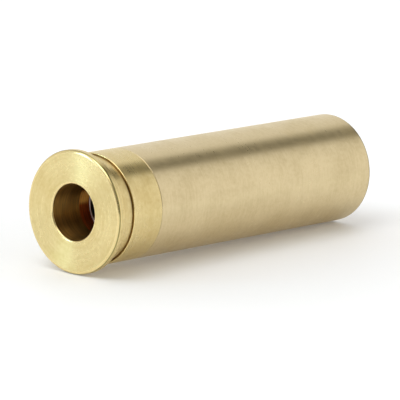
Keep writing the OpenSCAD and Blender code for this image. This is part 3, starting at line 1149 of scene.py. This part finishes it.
def camera():
    """Long lens, at the height and side of the rear end, turned a little about its own axis."""
    yaw, pitch, roll = (radians(a) for a in (-138.535, 11.851, 1.654))
    distance = 739.6
    target = Vector((20.211, -11.96, 1.397))
    away = Vector((cos(pitch) * cos(yaw), cos(pitch) * sin(yaw), sin(pitch)))
    data = bpy.data.cameras.new("camera")
    data.sensor_width = 36
    data.lens = 373.36
    data.clip_start = 0.01
    data.clip_end = 20
    item = placed("camera", data)
    place = Matrix.Translation((target + away * distance) * MM)
    item.matrix_world = LEVEL @ place @ facing(away) @ Matrix.Rotation(roll, 4, "Z")
    bpy.context.scene.camera = item


def light_table():
    """Pale floor that the rim and the front edge of the tube touch, as the case leans on both. It
    glows faintly, like a light table, and a little more away from the case."""
    half_metres = 3.0
    bm = bmesh.new()
    bmesh.ops.create_grid(bm, x_segments=1, y_segments=1, size=half_metres)
    mat = new_material("floor", Roughness=0.6)
    point = position(mat)
    shade = spread(mat, noise(mat, point, 40.0, 2.0), 0.3, 0.7)
    wire(mat, Base_Color=mixed(mat, shade, (0.9, 0.9, 0.9), (0.89, 0.89, 0.89)))
    middle = (CASE_END / 2 * MM, 0, 0)
    away = node(mat, "VectorMath", {0: point, 1: middle}, operation="DISTANCE").outputs["Value"]
    wire(mat, Emission_Strength=spread(mat, away, 30 * MM, 80 * MM, 0.1, 0.19))
    item = finished("floor", bm, mat)
    clearance = 0.02
    drop = RIM_R * cos(TILT) + clearance
    item.matrix_world = LEVEL @ Matrix.Translation((0, 0, -drop * MM))


def softbox(name, direction, distance, size, radiance, colour=(1, 1, 1)):
    """Rectangular area light, turned to the middle of the case. Distance and size are in metres."""
    data = bpy.data.lights.new(name, "AREA")
    data.shape = "RECTANGLE"
    data.size, data.size_y = size
    data.color = colour
    data.energy = radiance * pi * size[0] * size[1]
    away = Vector(direction).normalized()
    centre = Vector((CASE_END / 2, 0, 0)) * MM
    item = placed(name, data)
    item.matrix_world = Matrix.Translation(centre + away * distance) @ facing(away)


def studio():
    """Bright plain room. The dark gap between two rows of overhead panels draws one soft line along
    the case, and the side where the camera stands is darker."""
    world = bpy.data.worlds.new("studio")
    bpy.context.scene.world = world
    world.use_nodes = True
    view = node(world, "TexCoord").outputs["Generated"]

    def towards(direction):
        along = tuple(Vector(direction).normalized())
        return node(world, "VectorMath", {0: view, 1: along}, operation="DOT_PRODUCT").outputs["Value"]

    def patch(direction, outer, inner, amount):
        """Extra brightness that fades between two angles from a direction."""
        near, far = cos(radians(inner)), cos(radians(outer))
        return spread(world, towards(direction), far, near, 0.0, amount)

    across = calculate(world, "ABSOLUTE", added(world, towards((-0.354, 0.870, 0.344)), 0.06))
    ahead = patch((0.74, -0.04, 0.67), 60, 38, 1.0)
    gap = product(world, spread(world, across, 0.26, 0.06, 0.0, 0.80), ahead)
    room_level = 0.80
    right_of_picture = patch((0.70, -0.66, 0.28), 65, 30, 0.27)
    beyond_case = patch((0.66, 0.74, 0.05), 45, 15, 0.24)
    round_camera = patch((-0.74, -0.65, 0.19), 45, 15, -0.6)
    over_near_side = patch((0.15, -0.45, 0.87), 35, 12, -0.45)
    plain = added(world, room_level, right_of_picture, beyond_case, round_camera, over_near_side)
    level = product(world, plain, calculate(world, "SUBTRACT", 1.0, gap))
    tint = mixed(world, spread(world, level, 0.1, 0.8), (1.0, 0.96, 0.80), (1.0, 1.0, 1.0))
    wire(world, Strength=level, Color=tint)
    softbox("overhead", (-0.1, 0.1, 1), 1.2, (1.0, 1.0), 0.6)
    softbox("camera_side", (-0.56, -0.08, 0.79), 1.2, (0.8, 0.8), 1.9)
    softbox("strip", (-0.67, 0.48, 0.28), 1.0, (0.18, 0.6), 3.6, (0.62, 0.98, 1.2))


# -------- the object

NUT_FILLETS = (0.08, 0.1, 0.12, 0.18)

rear_cap()
body_tube()
seal_ring()
contact_coil()
plain_ring("sleeve_tube", SLEEVE, "battery_sleeve", [0.15] * 4)
for number in (1, 2, 3):
    cell(number)
module_barrel()
board_coil()
contact_disc()
circuit_board()
transistor()
resistors()
capacitor()
laser_leads()
laser_base()
laser_chip()
laser_can()
plain_disc("laser_glass", LENS_GLASS, "diode_window", 0.04, steps=64)
laser_holder()
lens_coil()
lens_cell()
lens()
plain_ring("lens_nut", BLACK_METAL, "lens_ring", NUT_FILLETS, slotted=True)
plain_ring("glass_gasket", RUBBER, "window_seal", (0.18, 0.15, 0.15, 0.18))
plain_disc("front_glass", WINDOW_GLASS, "window", 0.15)
plain_ring("front_nut", MODULE_BRASS, "window_ring", NUT_FILLETS, slotted=True)

camera()
light_table()
studio()
bpy.context.scene.view_settings.view_transform = "Standard"
